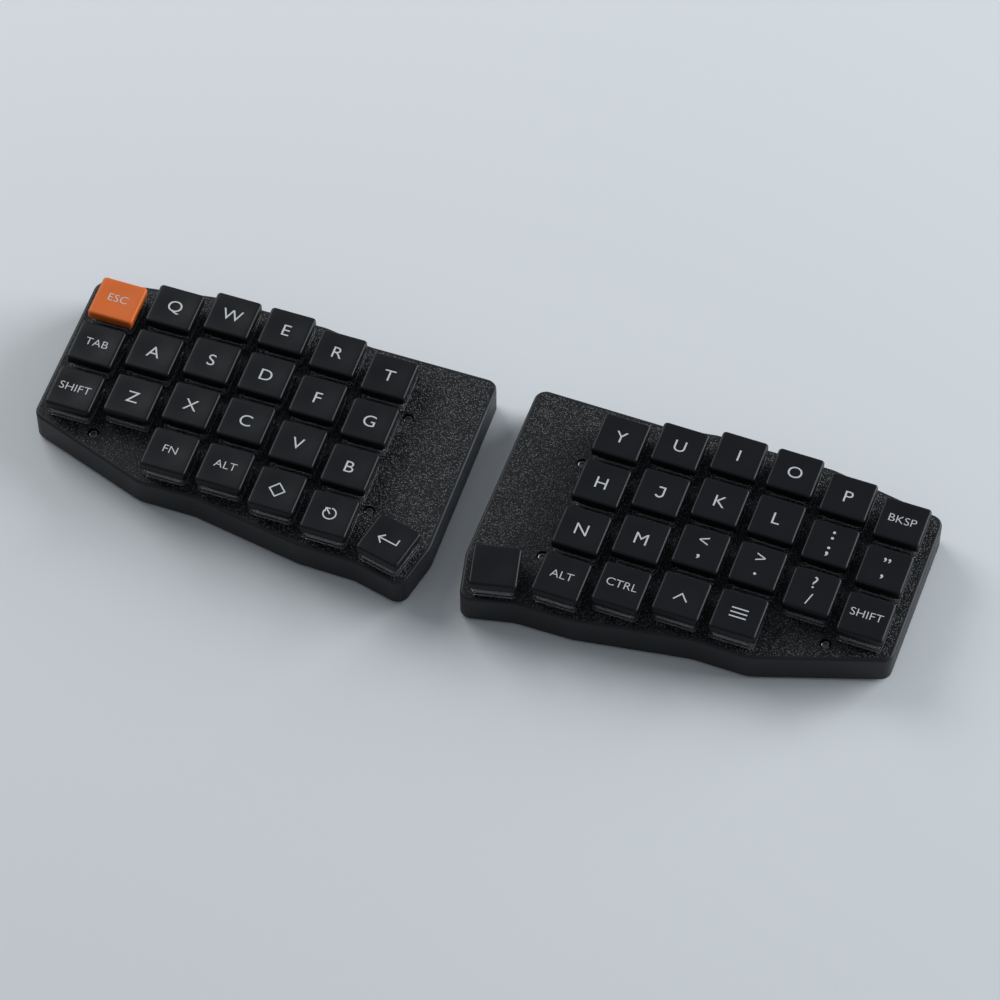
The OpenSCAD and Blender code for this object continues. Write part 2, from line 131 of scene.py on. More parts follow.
def floor_mesh():
    edge = [(FLOOR_R * math.cos(a), FLOOR_R * math.sin(a), 0) for a in
            (math.tau * i / FLOOR_SIDES for i in range(FLOOR_SIDES))]
    mesh = bpy.data.meshes.new("floor")
    mesh.from_pydata(edge, [], [list(range(FLOOR_SIDES))])
    return mesh


floor = add("floor", floor_mesh())
floor_paint, _, shader = new_material("floor_paint")
shader.inputs["Base Color"].default_value = (*FLOOR_GREY, 1)
shader.inputs["Roughness"].default_value = FLOOR_DULL
floor.data.materials.append(floor_paint)


# Bottom covers: flat moulded plates with screw bosses and two hooks, set in a rebate of each case.
# Black plastic with a fine spark texture; seen only from below.
COVER_EDGE = 0.12 * MM
COVER_COLOUR = (0.016, 0.016, 0.018)
FLAT_ANGLE = math.radians(1)
EDGE_ANGLE = math.radians(35)
DRIFT_PER_M = 90


def new_tree(name, kind, inputs, outputs):
    """A node tree with named sockets, given as name and kind, and the two nodes that hold them."""
    group = bpy.data.node_groups.new(name, kind)
    for way, sockets in (("INPUT", inputs), ("OUTPUT", outputs)):
        for label, what in sockets.items():
            group.interface.new_socket(label, in_out=way, socket_type="NodeSocket" + what)
    return group, group.nodes.new("NodeGroupInput"), group.nodes.new("NodeGroupOutput")


def maths_in(tree):
    """A function that adds sums to a tree. Each side is a number or another node's output."""
    def maths(how, a, b=0.0):
        node = tree.nodes.new("ShaderNodeMath")
        node.operation = how
        for socket, value in zip(node.inputs, (a, b)):
            if isinstance(value, (int, float)):
                socket.default_value = value
            else:
                tree.links.new(value, socket)
        return node.outputs[0]
    return maths


def skin_group():
    """Moulded plastic: a fine grain, with shade and gloss that drift a little over the piece."""
    group, inlet, outlet = new_tree(
        "moulded_skin", "ShaderNodeTree",
        {"Vector": "Vector", "Colour": "Color", "Shade": "Float", "Gloss": "Float", "Drift": "Float",
         "Grain": "Float"},
        {"Colour": "Color", "Roughness": "Float", "Height": "Float"})
    nodes, link, maths = group.nodes, group.links.new, maths_in(group)
    fine, broad = nodes.new("ShaderNodeTexNoise"), nodes.new("ShaderNodeTexNoise")
    fine.inputs["Detail"].default_value = 3
    broad.inputs["Scale"].default_value = DRIFT_PER_M
    broad.inputs["Detail"].default_value = 2
    link(inlet.outputs["Vector"], fine.inputs["Vector"])
    link(inlet.outputs["Vector"], broad.inputs["Vector"])
    link(inlet.outputs["Grain"], fine.inputs["Scale"])
    both = maths("ADD", fine.outputs["Fac"], broad.outputs["Fac"])
    swing = maths("SUBTRACT", both, 1.0)
    shaded = maths("ADD", maths("MULTIPLY", swing, inlet.outputs["Shade"]), 1.0)
    tint = nodes.new("ShaderNodeVectorMath")
    tint.operation = "SCALE"
    link(inlet.outputs["Colour"], tint.inputs[0])
    link(shaded, tint.inputs["Scale"])
    link(tint.outputs[0], outlet.inputs["Colour"])
    drift = maths("MULTIPLY", swing, inlet.outputs["Drift"])
    link(maths("ADD", drift, inlet.outputs["Gloss"]), outlet.inputs["Roughness"])
    link(fine.outputs["Fac"], outlet.inputs["Height"])
    return group


moulded_skin = skin_group()


def plastic(name, colour, gloss, grain, relief, shade=0.25, drift=0.12, shine=0.5):
    """A moulded plastic. Grain is a count per metre and relief the depth of its bumps in metres."""
    material, tree, shader = new_material(name)
    shader.inputs["Specular IOR Level"].default_value = shine
    nodes, link = tree.nodes, tree.links.new
    where = nodes.new("ShaderNodeTexCoord")
    skin = nodes.new("ShaderNodeGroup")
    skin.node_tree = moulded_skin
    bump = nodes.new("ShaderNodeBump")
    bump.inputs["Distance"].default_value = relief
    for socket, value in (("Colour", (*colour, 1)), ("Shade", shade), ("Gloss", gloss),
                          ("Drift", drift), ("Grain", grain)):
        skin.inputs[socket].default_value = value
    link(where.outputs["Object"], skin.inputs["Vector"])
    link(skin.outputs["Colour"], shader.inputs["Base Color"])
    link(skin.outputs["Roughness"], shader.inputs["Roughness"])
    link(skin.outputs["Height"], bump.inputs["Height"])
    link(bump.outputs["Normal"], shader.inputs["Normal"])
    return material


def merged(node):
    """A copy of a node's mesh with its loose triangles joined."""
    packed = frame["nodes"][node].data
    bare = bpy.data.meshes.new("bare")
    bare.from_pydata([v.co for v in packed.vertices], [], [list(p.vertices) for p in packed.polygons])
    bm = bmesh.new()
    bm.from_mesh(bare)
    bpy.data.meshes.remove(bare)
    bmesh.ops.remove_doubles(bm, verts=bm.verts, dist=MM / 10000)
    return bm


def solids(bm):
    """The vertices of each separate solid."""
    seen = set()
    for start in bm.verts:
        if start in seen:
            continue
        found, queue = [], [start]
        seen.add(start)
        while queue:
            vert = queue.pop()
            found.append(vert)
            for edge in vert.link_edges:
                other = edge.other_vert(vert)
                if other not in seen:
                    seen.add(other)
                    queue.append(other)
        yield found


def softened(name, node, edge, finish, keep=None):
    """The node's shape with its sharp edges eased, or those of its solids that keep() picks by height."""
    bm = merged(node)
    if keep:
        spare = [v for found in solids(bm)
                 if not keep(min(v.co.z for v in found), max(v.co.z for v in found)) for v in found]
        bmesh.ops.delete(bm, geom=spare, context="VERTS")
    bmesh.ops.dissolve_limit(bm, angle_limit=FLAT_ANGLE, verts=bm.verts, edges=bm.edges)
    for face in bm.faces:
        face.smooth = True
    mesh = bpy.data.meshes.new(name)
    bm.to_mesh(mesh)
    bm.free()
    mesh.materials.append(finish)
    piece = add(name, mesh)
    bevel = piece.modifiers.new("eased_edges", "BEVEL")
    bevel.width = edge
    bevel.segments = 2
    bevel.limit_method = "ANGLE"
    bevel.angle_limit = EDGE_ANGLE
    bevel.harden_normals = True
    return piece


HALVES = ("left", "right")
cover_plastic = plastic("cover_plastic", COVER_COLOUR, gloss=0.55, grain=3500, relief=0.02 * MM)
for half in HALVES:
    piece = softened(half + "_cover", half + "_bottom_cover", COVER_EDGE, cover_plastic)
    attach(piece, half + "_half")
    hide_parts(half + "_bottom_cover")


# Rubber feet: four turned pads to a half, stuck into shallow seats in the cover. Soft black rubber with
# a rounded rim and a shallow ring underneath, where the mould's pin stood.
FOOT_BLACK = (0.018, 0.018, 0.018)
FOOT_ROUND = 0.35 * MM
FOOT_BEND = 0.7
FOOT_RING = (0.30, 0.55)
FOOT_RING_SLOPE = 0.04
FOOT_RING_DEPTH = 0.12 * MM


def moulding_tree():
    """Lofts an outline over a profile of (share of width, share of depth, height) and sets it on places."""
    group, inlet, outlet = new_tree(
        "moulding_on_places", "GeometryNodeTree",
        {"Places": "Geometry", "Profile": "Object", "Width": "Float", "Depth": "Float", "Corner": "Float",
         "Corner Steps": "Int", "Finish": "Material"},
        {"Pieces": "Geometry"})
    nodes, link, maths = group.nodes, group.links.new, maths_in(group)

    def count(geometry, component):
        node = nodes.new("GeometryNodeAttributeDomainSize")
        node.component = component
        link(geometry, node.inputs[0])
        return node.outputs["Point Count"]

    def point_of(geometry, index):
        node = nodes.new("GeometryNodeSampleIndex")
        node.data_type = "FLOAT_VECTOR"
        place = nodes.new("GeometryNodeInputPosition")
        link(geometry, node.inputs["Geometry"])
        link(place.outputs[0], node.inputs["Value"])
        link(index, node.inputs["Index"])
        parts = nodes.new("ShaderNodeSeparateXYZ")
        link(node.outputs["Value"], parts.inputs[0])
        return parts.outputs

    profile = nodes.new("GeometryNodeObjectInfo")
    link(inlet.outputs["Profile"], profile.inputs["Object"])
    levels = count(profile.outputs["Geometry"], "MESH")
    outline = nodes.new("GeometryNodeCurvePrimitiveQuadrilateral")
    link(inlet.outputs["Width"], outline.inputs["Width"])
    link(inlet.outputs["Depth"], outline.inputs["Height"])
    fillet = nodes.new("GeometryNodeFilletCurve")
    fillet.mode = "POLY"
    fillet.inputs["Limit Radius"].default_value = True
    link(outline.outputs[0], fillet.inputs["Curve"])
    link(inlet.outputs["Corner Steps"], fillet.inputs["Count"])
    link(inlet.outputs["Corner"], fillet.inputs["Radius"])
    around = count(fillet.outputs[0], "CURVE")
    grid = nodes.new("GeometryNodeMeshGrid")
    link(maths("ADD", around, 1), grid.inputs["Vertices X"])
    link(levels, grid.inputs["Vertices Y"])
    place = nodes.new("GeometryNodeInputPosition")
    across = nodes.new("ShaderNodeSeparateXYZ")
    link(place.outputs[0], across.inputs[0])
    step = maths("ROUND", maths("MULTIPLY", maths("ADD", across.outputs["X"], 0.5), around))
    level = maths("ROUND", maths("MULTIPLY", maths("ADD", across.outputs["Y"], 0.5),
                                 maths("SUBTRACT", levels, 1)))
    edge = point_of(fillet.outputs[0], maths("MODULO", step, around))
    share = point_of(profile.outputs["Geometry"], level)
    spot = nodes.new("ShaderNodeCombineXYZ")
    link(maths("MULTIPLY", edge["X"], share["X"]), spot.inputs["X"])
    link(maths("MULTIPLY", edge["Y"], share["Y"]), spot.inputs["Y"])
    link(share["Z"], spot.inputs["Z"])
    loft = nodes.new("GeometryNodeSetPosition")
    link(grid.outputs["Mesh"], loft.inputs["Geometry"])
    link(spot.outputs[0], loft.inputs["Position"])
    closed = nodes.new("GeometryNodeMergeByDistance")
    closed.inputs["Distance"].default_value = MM / 1000
    link(loft.outputs[0], closed.inputs["Geometry"])
    smooth = nodes.new("GeometryNodeSetShadeSmooth")
    link(closed.outputs[0], smooth.inputs["Geometry"])
    set_on_places(group, inlet, outlet, smooth.outputs[0])
    return group


def set_on_places(group, inlet, outlet, shape):
    """Sets a shape on each place, turned by the place's own angle."""
    nodes, link = group.nodes, group.links.new
    turn = nodes.new("GeometryNodeInputNamedAttribute")
    turn.data_type = "FLOAT"
    turn.inputs["Name"].default_value = "turn"
    angle = nodes.new("ShaderNodeCombineXYZ")
    link(turn.outputs["Attribute"], angle.inputs["Z"])
    copies = nodes.new("GeometryNodeInstanceOnPoints")
    link(inlet.outputs["Places"], copies.inputs["Points"])
    link(shape, copies.inputs["Instance"])
    link(angle.outputs[0], copies.inputs["Rotation"])
    real = nodes.new("GeometryNodeRealizeInstances")
    link(copies.outputs[0], real.inputs[0])
    coat = nodes.new("GeometryNodeSetMaterial")
    link(real.outputs[0], coat.inputs["Geometry"])
    link(inlet.outputs["Finish"], coat.inputs["Material"])
    link(coat.outputs[0], outlet.inputs[0])


def made_by(group, places, values):
    """The mesh that a tree makes on places, each (x, y, z, turn), with its named inputs set."""
    host_mesh = bpy.data.meshes.new("places")
    host_mesh.from_pydata([p[:3] for p in places], [], [])
    turn = host_mesh.attributes.new("turn", "FLOAT", "POINT")
    turn.data.foreach_set("value", [p[3] for p in places])
    host = add("places", host_mesh)
    nodes = host.modifiers.new("making", "NODES")
    nodes.node_group = group
    for socket in group.interface.items_tree:
        if socket.in_out == "INPUT" and socket.name in values:
            nodes[socket.identifier] = values[socket.name]
    bpy.context.view_layer.update()
    evaluated = host.evaluated_get(bpy.context.evaluated_depsgraph_get())
    mesh = bpy.data.meshes.new_from_object(evaluated)
    bpy.data.objects.remove(host)
    bm = bmesh.new()
    bm.from_mesh(mesh)
    bmesh.ops.recalc_face_normals(bm, faces=bm.faces)
    bm.to_mesh(mesh)
    bm.free()
    return mesh


def moulded(places, profile, width, depth, corner, finish, steps=4, crisp=35):
    """Lofted mouldings on places, with edges over crisp degrees left sharp."""
    guide_mesh = bpy.data.meshes.new("profile")
    guide_mesh.from_pydata(profile, [], [])
    guide = add("profile", guide_mesh)
    mesh = made_by(moulding, places, {
        "Profile": guide, "Width": width, "Depth": depth, "Corner": corner,
        "Corner Steps": steps, "Finish": finish})
    bpy.data.objects.remove(guide)
    mesh.set_sharp_from_angle(angle=math.radians(crisp))
    return mesh


def seats(node):
    """Where each round piece of a node stands, as places, with their width and height."""
    bm = merged(node)
    places = []
    for found in solids(bm):
        low = Vector([min(v.co[i] for v in found) for i in range(3)])
        high = Vector([max(v.co[i] for v in found) for i in range(3)])
        places.append((*((low + high) / 2).xy, low.z, 0))
    bm.free()
    return places, high.x - low.x, high.z - low.z


moulding = moulding_tree()
rubber = plastic("foot_rubber", FOOT_BLACK, gloss=0.8, grain=2200, relief=0.03 * MM, shade=0.35, drift=0.1)
ring_in, ring_out = FOOT_RING
for half in HALVES:
    node = half + "_rubber_feet"
    places, width, tall = seats(node)
    full = 1 - 2 * FOOT_ROUND / width
    profile = [(s, s, z) for s, z in (
        (0, 0), (ring_in, 0), (ring_in + FOOT_RING_SLOPE, FOOT_RING_DEPTH), (ring_out, FOOT_RING_DEPTH),
        (ring_out + FOOT_RING_SLOPE, 0), (full, 0),
        (full + (1 - full) * FOOT_BEND, FOOT_ROUND * (1 - FOOT_BEND)), (1, FOOT_ROUND), (1, tall), (0, tall))]
    piece = add(half + "_feet", moulded(places, profile, width, width, width / 2, rubber, steps=8))
    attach(piece, half + "_half")
    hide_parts(node)


# Circuit boards: green fibreglass boards with the diodes, controller and battery under them and a steel
# charging socket at the rear. They lie inside the case, and only the socket's mouth is seen.
BOARD_GREEN = (0.008, 0.045, 0.022)
BOARD_UNDERSIDE = 8.39 * MM
BOARD_GLOSS = 0.35
TRACES_PER_M = 220
TRACE_SHADES = {"Color1": 1, "Color2": 1.3, "Mortar": 2.2}
SOCKET_STEEL = (0.55, 0.56, 0.58)
SOCKET_L = 9 * MM


def board_material(half):
    """Green board with paler traces, and steel where the charging socket is."""
    material, tree, shader = new_material(half + "_board")
    nodes, link, maths = tree.nodes, tree.links.new, maths_in(tree)
    where = nodes.new("ShaderNodeTexCoord")
    parts = nodes.new("ShaderNodeSeparateXYZ")
    link(where.outputs["Object"], parts.inputs[0])
    rear = maths("GREATER_THAN", parts.outputs["Y"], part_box(half + "_circuit_board")[1].y - SOCKET_L)
    under = maths("LESS_THAN", parts.outputs["Z"], BOARD_UNDERSIDE)
    socket = maths("MULTIPLY", rear, under)
    traces = nodes.new("ShaderNodeTexBrick")
    traces.inputs["Scale"].default_value = TRACES_PER_M
    for name, shade in TRACE_SHADES.items():
        traces.inputs[name].default_value = (*(c * shade for c in BOARD_GREEN), 1)
    link(where.outputs["Object"], traces.inputs["Vector"])
    colour = nodes.new("ShaderNodeMix")
    colour.data_type = "RGBA"
    colour.inputs[7].default_value = (*SOCKET_STEEL, 1)
    link(traces.outputs["Color"], colour.inputs[6])
    link(socket, colour.inputs[0])
    link(colour.outputs[2], shader.inputs["Base Color"])
    link(socket, shader.inputs["Metallic"])
    shader.inputs["Roughness"].default_value = BOARD_GLOSS
    return material


for half in HALVES:
    board = frame["nodes"][half + "_circuit_board"]
    board.data.materials.clear()
    board.data.materials.append(board_material(half))


# Key switches: a black body clipped into the plate under each key, and a clear cover with a wide rim
# over it. Both are injection moulded; the clear rims catch the light below the caps' front edges.
SWITCH_BLACK = (0.014, 0.014, 0.014)
SWITCH_EDGE = 0.12 * MM
RIM_W = 15.0 * MM
RIM_CORNER = 1.3 * MM
HAIR = MM / 100
CLEAR_GREY = (0.22, 0.22, 0.225)
CLEAR_SHARE = 0.8
CLEAR_IOR = 1.45
PLATE_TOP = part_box("left_top_case")[1].z
CLEAR_LEVELS = (
    (12.2, 12.2, 0.0), (14.8, 14.8, 0.0), (15.0, 15.0, 0.12), (15.0, 15.0, 0.68), (14.75, 14.75, 0.86),
    (13.95, 13.95, 0.86), (13.8, 13.8, 1.0), (13.75, 13.75, 1.5), (13.4, 13.4, 1.75), (13.28, 13.28, 2.1),
    (13.06, 13.06, 2.42), (12.7, 12.7, 2.66), (12.2, 12.2, 2.8), (10.6, 5.2, 2.8), (10.4, 5.0, 2.7),
    (10.4, 5.0, 2.1), (12.2, 12.2, 2.1), (12.2, 12.2, 0.0))
RIGHT_TURN = math.radians(-1.4)
THUMB_TURN = {"key_enter": math.radians(-13), "key_space": math.radians(13)}
half_of = {j["child"]: j["parent"].split("_")[0] for j in frame["joints"] if j["child"].startswith("key_")}


def key_place(key, height):
    low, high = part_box(key)
    turn = THUMB_TURN.get(key, 0) + (RIGHT_TURN if half_of[key] == "right" else 0)
    return (*((low + high) / 2).xy, height, turn)


def gloss_group():
    """Gloss that wanders between two values over the piece. Marks is a count per metre."""
    group, inlet, outlet = new_tree(
        "wandering_gloss", "ShaderNodeTree",
        {"Vector": "Vector", "Marks": "Float", "Bright": "Float", "Dull": "Float"}, {"Roughness": "Float"})
    nodes, link = group.nodes, group.links.new
    noise, gloss = nodes.new("ShaderNodeTexNoise"), nodes.new("ShaderNodeMapRange")
    link(inlet.outputs["Vector"], noise.inputs["Vector"])
    link(inlet.outputs["Marks"], noise.inputs["Scale"])
    link(noise.outputs["Fac"], gloss.inputs["Value"])
    link(inlet.outputs["Bright"], gloss.inputs["To Min"])
    link(inlet.outputs["Dull"], gloss.inputs["To Max"])
    link(gloss.outputs[0], outlet.inputs["Roughness"])
    return group


wandering_gloss = gloss_group()


def glossy(name, colour, marks, bright, dull):
    """A material of one colour with the wandering gloss, and its shader."""
    material, tree, shader = new_material(name)
    where = tree.nodes.new("ShaderNodeTexCoord")
    gloss = tree.nodes.new("ShaderNodeGroup")
    gloss.node_tree = wandering_gloss
    for socket, value in (("Marks", marks), ("Bright", bright), ("Dull", dull)):
        gloss.inputs[socket].default_value = value
    tree.links.new(where.outputs["Object"], gloss.inputs["Vector"])
    tree.links.new(gloss.outputs["Roughness"], shader.inputs["Roughness"])
    shader.inputs["Base Color"].default_value = (*colour, 1)
    return material, shader


switch_black = plastic("switch_black", SWITCH_BLACK, gloss=0.35, grain=3000, relief=0.01 * MM)
clear, shader = glossy("clear_plastic", CLEAR_GREY, marks=300, bright=0.08, dull=0.20)
shader.inputs["Transmission Weight"].default_value = CLEAR_SHARE
shader.inputs["IOR"].default_value = CLEAR_IOR
clear_profile = [(x * MM / RIM_W, y * MM / RIM_W, z * MM) for x, y, z in CLEAR_LEVELS]
for half in HALVES:
    node = half + "_key_switches"
    piece = softened(half + "_switch_bodies", node, SWITCH_EDGE, switch_black,
                     keep=lambda low, high: high < PLATE_TOP + MM / 10)
    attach(piece, half + "_half")
    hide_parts(node)
    places = [key_place(key, PLATE_TOP + HAIR) for key in half_of if half_of[key] == half]
    piece = add(half + "_clear_covers", moulded(places, clear_profile, RIM_W, RIM_W, RIM_CORNER, clear))
    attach(piece, half + "_half")
    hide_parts(node)


# Springs: a coil of bright steel wire in each switch, wound at an even pitch. It stands on the body's
# floor and reaches up into the stem.
COIL_TURNS = 7
COIL_STEPS = 10
COIL_W = 3.0 * MM
WIRE_W = 0.28 * MM
WIRE_SIDES = 5
SPRING_STEEL = (0.6, 0.6, 0.62)


def coil_tree():
    """Winds a wire into a coil and sets it on places."""
    group, inlet, outlet = new_tree(
        "coil_on_places", "GeometryNodeTree",
        {"Places": "Geometry", "Radius": "Float", "Height": "Float", "Turns": "Float", "Wire Radius": "Float",
         "Finish": "Material"},
        {"Pieces": "Geometry"})
    nodes, link = group.nodes, group.links.new
    spiral = nodes.new("GeometryNodeCurveSpiral")
    spiral.inputs["Resolution"].default_value = COIL_STEPS
    link(inlet.outputs["Turns"], spiral.inputs["Rotations"])
    link(inlet.outputs["Radius"], spiral.inputs["Start Radius"])
    link(inlet.outputs["Radius"], spiral.inputs["End Radius"])
    link(inlet.outputs["Height"], spiral.inputs["Height"])
    section = nodes.new("GeometryNodeCurvePrimitiveCircle")
    section.inputs["Resolution"].default_value = WIRE_SIDES
    link(inlet.outputs["Wire Radius"], section.inputs["Radius"])
    wire = nodes.new("GeometryNodeCurveToMesh")
    wire.inputs["Fill Caps"].default_value = True
    link(spiral.outputs[0], wire.inputs["Curve"])
    link(section.outputs[0], wire.inputs["Profile Curve"])
    set_on_places(group, inlet, outlet, wire.outputs[0])
    return group


coil = coil_tree()
spring_steel, shader = glossy("spring_steel", SPRING_STEEL, marks=900, bright=0.20, dull=0.36)
shader.inputs["Metallic"].default_value = 1
for key, half in half_of.items():
    node = half + "_switch_springs"
    low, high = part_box(node)
    tall = high.z - low.z - WIRE_W
    x, y, z, turn = key_place(key, low.z + WIRE_W / 2)
    piece = add(key.replace("key_", "spring_"), made_by(coil, [(x, y, z, turn)], {
        "Radius": (COIL_W - WIRE_W) / 2, "Height": tall, "Turns": float(COIL_TURNS),
        "Wire Radius": WIRE_W / 2, "Finish": spring_steel}))
    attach(piece, half + "_half")
    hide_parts(node)
    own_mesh(piece)


# Stems: a dark red slider in each switch, with two slots for the prongs of its cap. Moulded in one
# with a shoulder that the clear cover holds down.
STEM_EDGE = 0.1 * MM
STEM_RED = (0.30, 0.018, 0.012)
KEY_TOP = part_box("key_q")[1].z
stem_red = plastic("stem_red", STEM_RED, gloss=0.3, grain=2500, relief=0.01 * MM)
for key in half_of:
    piece = softened(key.replace("key_", "stem_"), key, STEM_EDGE, stem_red,
                     keep=lambda low, high: high < KEY_TOP - MM / 2)
    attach(piece, key)
    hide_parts(key)


# Top cases: black moulded trays with a square opening for each switch, seats for three screws and a
# rounded upper edge. The top is coarsely grained, its crowns painted paler as a painted highlight,
# and the edge and walls are smooth satin.
FILLET_R = 0.9 * MM
FILLET_STEPS = 5
GUARD = 0.25 * MM
CASE_CRISP = math.radians(40)
CASE_BLACK = (0.012, 0.013, 0.015)
PEBBLE_DARK = (0.002, 0.002, 0.0022)
# Paler colour on the pebbles' crowns: a painted highlight that stands in for the crowns' glints.
PAINTED_CROWN_GLINT = (0.23, 0.23, 0.24)
PEBBLE_W = 0.54 * MM
PEBBLE_WANDER = 0.7
PEBBLE_RELIEF = 0.26 * MM
PEBBLE_FOOT = 0.55
PEBBLE_CROWN = 0.12
PEBBLE_LOWEST = 0.35
PEBBLE_SHINE = 0.28
VALLEY_GLOSS = 0.60
CROWN_GLOSS = 0.26
PAINTED_GLINT_POWER = 1.5


def ring_of(edges):
    """Boundary edges as closed rings of vertices."""
    left = set(edges)
    while left:
        edge = left.pop()
        ring = [edge.verts[0], edge.verts[1]]
        while True:
            following = next((e for e in ring[-1].link_edges if e in left), None)
            if following is None:
                break
            left.discard(following)
            ring.append(following.other_vert(ring[-1]))
        yield ring[:-1] if ring[-1] is ring[0] else ring


def inward(ring):
    """For each corner of a flat ring, the step that moves it in by one unit of wall."""
    spots = [v.co.xy for v in ring]
    area = sum(a.x * b.y - b.x * a.y for a, b in zip(spots, spots[1:] + spots[:1]))
    side = 1 if area > 0 else -1
    steps = []
    for before, here, after in zip(spots[-1:] + spots[:-1], spots, spots[1:] + spots[:1]):
        a, b = (here - before).normalized(), (after - here).normalized()
        na, nb = Vector((-a.y, a.x)) * side, Vector((-b.y, b.x)) * side
        steps.append((na + nb) / (1 + na.dot(nb)))
    return steps


def top_case(half):
    """The case with its flat top taken off, its outer edge rounded and the top filled in again as grain with
    painted highlights.
    """
    node = half + "_top_case"
    bm = merged(node)
    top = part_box(node)[1].z
    flat = [f for f in bm.faces if all(abs(v.co.z - top) < MM / 1000 for v in f.verts)]
    bmesh.ops.delete(bm, geom=flat, context="FACES")
    rings = ring_of([e for e in bm.edges if e.is_boundary])
    outer = max(rings, key=lambda ring: max(v.co.x for v in ring) - min(v.co.x for v in ring))
    steps = inward(outer)
    spots = [v.co.xy for v in outer]
    levels = [(0, top - FILLET_R)]
    for i in range(1, FILLET_STEPS + 1):
        angle = math.radians(90 * i / FILLET_STEPS)
        levels.append((FILLET_R * (1 - math.cos(angle)), top - FILLET_R * (1 - math.sin(angle))))
    levels.append((FILLET_R + GUARD, top))
    for vert in outer:
        vert.co.z = top - FILLET_R - GUARD
    below = outer
    for inset, height in levels:
        ring = [bm.verts.new((*(s + d * inset), height)) for s, d in zip(spots, steps)]
        for i in range(len(ring)):
            j = (i + 1) % len(ring)
            bm.faces.new((below[i], below[j], ring[j], ring[i]))
        below = ring
    rim = [e for e in bm.edges if e.is_boundary]
    filled = bmesh.ops.triangle_fill(bm, use_beauty=True, use_dissolve=False, edges=rim, normal=(0, 0, 1))
    for item in filled["geom"]:
        if isinstance(item, bmesh.types.BMFace):
            item.material_index = 1
    bmesh.ops.recalc_face_normals(bm, faces=bm.faces)
    for face in bm.faces:
        face.smooth = True
    mesh = bpy.data.meshes.new(half + "_case")
    bm.to_mesh(mesh)
    bm.free()
    mesh.materials.append(case_satin)
    mesh.materials.append(case_grain)
    mesh.set_sharp_from_angle(angle=CASE_CRISP)
    return mesh


def pebbled():
    """Coarse grain: crowded pebbles of uneven height, glossier on their crowns, with a paler colour painted
    on the crowns as a highlight.
    """
    material, tree, shader = new_material("case_grain")
    shader.inputs["Specular IOR Level"].default_value = PEBBLE_SHINE
    nodes, link, maths = tree.nodes, tree.links.new, maths_in(tree)
    where = nodes.new("ShaderNodeTexCoord")
    wander = nodes.new("ShaderNodeTexNoise")
    wander.inputs["Scale"].default_value = PEBBLE_WANDER / PEBBLE_W
    wander.inputs["Detail"].default_value = 2
    sway = nodes.new("ShaderNodeVectorMath")
    sway.operation = "MULTIPLY_ADD"
    sway.inputs[1].default_value = (PEBBLE_W, PEBBLE_W, PEBBLE_W)
    pebbles = nodes.new("ShaderNodeTexVoronoi")
    pebbles.inputs["Scale"].default_value = 1 / PEBBLE_W
    crown = nodes.new("ShaderNodeMapRange")
    crown.interpolation_type = "SMOOTHSTEP"
    crown.inputs["From Min"].default_value = PEBBLE_FOOT
    crown.inputs["From Max"].default_value = PEBBLE_CROWN
    lot = nodes.new("ShaderNodeSeparateXYZ")
    tall = nodes.new("ShaderNodeMapRange")
    tall.inputs["To Min"].default_value = PEBBLE_LOWEST
    # The crown mask sets the bump and the gloss, and through the colour mix it also paints the highlight on
    # the crowns.
    pale = maths("MULTIPLY", crown.outputs[0], tall.outputs[0])
    colour = nodes.new("ShaderNodeMix")
    colour.data_type = "RGBA"
    colour.inputs[6].default_value = (*PEBBLE_DARK, 1)
    colour.inputs[7].default_value = (*PAINTED_CROWN_GLINT, 1)
    gloss = nodes.new("ShaderNodeMapRange")
    gloss.inputs["To Min"].default_value = VALLEY_GLOSS
    gloss.inputs["To Max"].default_value = CROWN_GLOSS
    bump = nodes.new("ShaderNodeBump")
    bump.inputs["Distance"].default_value = PEBBLE_RELIEF
    link(where.outputs["Object"], wander.inputs["Vector"])
    link(wander.outputs["Color"], sway.inputs[0])
    link(where.outputs["Object"], sway.inputs[2])
    link(sway.outputs[0], pebbles.inputs["Vector"])
    link(pebbles.outputs["Distance"], crown.inputs["Value"])
    link(pebbles.outputs["Color"], lot.inputs[0])
    link(lot.outputs["X"], tall.inputs["Value"])
    # Painted highlight: the crowns' colour goes from the dark plastic towards the paler painted glint.
    link(maths("POWER", pale, PAINTED_GLINT_POWER), colour.inputs[0])
    link(pale, gloss.inputs["Value"])
    link(pale, bump.inputs["Height"])
    link(colour.outputs[2], shader.inputs["Base Color"])
    link(gloss.outputs[0], shader.inputs["Roughness"])
    link(bump.outputs["Normal"], shader.inputs["Normal"])
    return material


case_satin = plastic("case_satin", CASE_BLACK, gloss=0.45, grain=2500, relief=0.012 * MM, shine=0.25)
case_grain = pebbled()
for half in HALVES:
    piece = add(half + "_case", top_case(half))
    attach(piece, half + "_half")
    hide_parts(half + "_top_case")


# Case screws: three small black screws to a half, turned with a domed head and a hexagon socket, sunk in
# seats in the case top. They clamp the cover against the case.
SCREW_BLACK = (0.12, 0.12, 0.125)
SHANK_W = 2.0 * MM
SHANK_TIP = 0.8
SHANK_CHAMFER = 0.3 * MM
HEAD_H = 0.9 * MM
HEAD_RIM = 0.2 * MM
HEAD_UNDER = 0.97
HEAD_EASE = 0.05 * MM
SOCKET_RIM = 0.48
SOCKET_R = 0.75 * MM
SOCKET_FLOOR = 0.45 * MM
HEXAGON_SIDE = math.radians(60)
DOME_STEPS = 6


